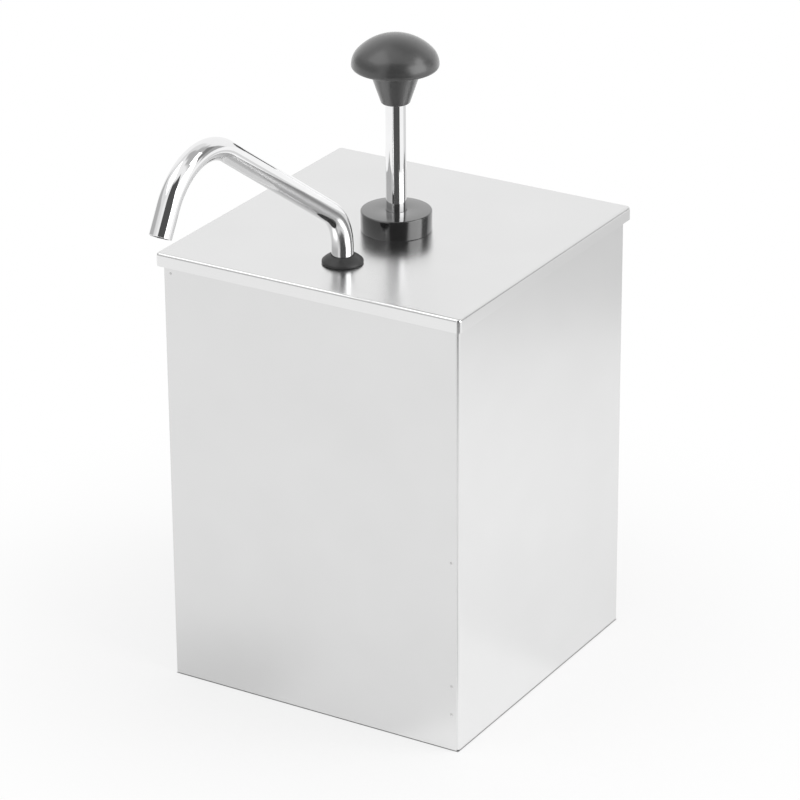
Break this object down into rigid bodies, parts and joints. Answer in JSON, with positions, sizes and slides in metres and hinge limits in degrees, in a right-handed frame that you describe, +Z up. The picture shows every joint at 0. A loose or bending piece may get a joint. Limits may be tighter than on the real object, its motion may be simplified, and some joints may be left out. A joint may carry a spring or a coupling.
{
  "type": "sauce pump dispenser",
  "caption": "Countertop sauce pump: square steel case and lift-out container, lift-off lid with a press-down mushroom-knob pump and a bent swivelling tube spout.",
  "frame": {"origin": "centre of the case's underside, on the table; the pump's axis stands over it", "axes": "+Z up, -Y the way the spout points, +X to the right seen from the spout's side"},
  "size_m": [0.2, 0.3439, 0.3865],
  "materials": {
    "case_steel": "semi-polished",
    "front_steel": "semi-polished",
    "tray_steel": "satin",
    "container_steel": "satin",
    "lid_steel": "semi-polished",
    "cap_plastic": "glossy",
    "bush_plastic": "satin",
    "seal_rubber": "matte",
    "barrel_steel": "turned",
    "block_plastic": "satin",
    "small_steel": "turned",
    "tube_steel": "mirror polished",
    "fitting_steel": "turned",
    "grommet_rubber": "matte",
    "knob_plastic": "semi-gloss",
    "insert_brass": "turned",
    "rod_steel": "mirror polished",
    "spring_steel": "drawn wire",
    "ball_steel": "polished"
  },
  "bodies": {
    "case": {"case_wrap": "case_steel", "front_panel": "front_steel", "base_tray": "tray_steel"},
    "container": {"container": "container_steel"},
    "lid": {"lid": "lid_steel", "cap_nut": "cap_plastic", "rod_bush": "bush_plastic", "rod_wiper": "seal_rubber", "neck_gasket": "seal_rubber", "barrel": "barrel_steel", "valve_block": "block_plastic", "ball_cage": "small_steel", "outlet_pin": "small_steel", "riser_tube": "tube_steel", "riser_nut": "fitting_steel", "riser_seal": "seal_rubber", "union_body": "fitting_steel", "union_nut": "fitting_steel", "spout_seal": "seal_rubber", "spout_grommet": "grommet_rubber"},
    "plunger": {"knob": "knob_plastic", "knob_insert": "insert_brass", "rod": "rod_steel", "stop_collar": "small_steel", "piston_head": "block_plastic", "piston_ring": "seal_rubber", "piston_washer": "small_steel", "piston_nut": "small_steel", "return_spring": "spring_steel"},
    "spout": {"spout_tube": "tube_steel", "spout_collar": "tube_steel"},
    "inlet_ball": {"inlet_ball": "ball_steel"},
    "outlet_ball": {"outlet_ball": "ball_steel"}
  },
  "joints": [
    {"name": "container_lift", "type": "slide", "parent": "case", "child": "container", "axis": [0, 0, 1], "range_m": [0, 0.26]},
    {"name": "lid_lift", "type": "slide", "parent": "container", "child": "lid", "axis": [0, 0, 1], "range_m": [0, 0.26]},
    {"name": "plunger_press", "type": "slide", "parent": "lid", "child": "plunger", "axis": [0, 0, 1], "range_m": [-0.055, 0], "stiffness_N_per_m": 350, "springref_m": 0.03, "deforming": ["return_spring"]},
    {"name": "spout_swivel", "type": "hinge", "parent": "lid", "child": "spout", "pos_m": [0, -0.059, 0.269], "axis": [0, 0, 1], "range_deg": [-135, 135]},
    {"name": "inlet_ball_lift", "type": "slide", "parent": "lid", "child": "inlet_ball", "axis": [0, 0, 1], "range_m": [0, 0.004]},
    {"name": "outlet_ball_lift", "type": "slide", "parent": "lid", "child": "outlet_ball", "axis": [0, 0, 1], "range_m": [0, 0.004]}
  ]
}
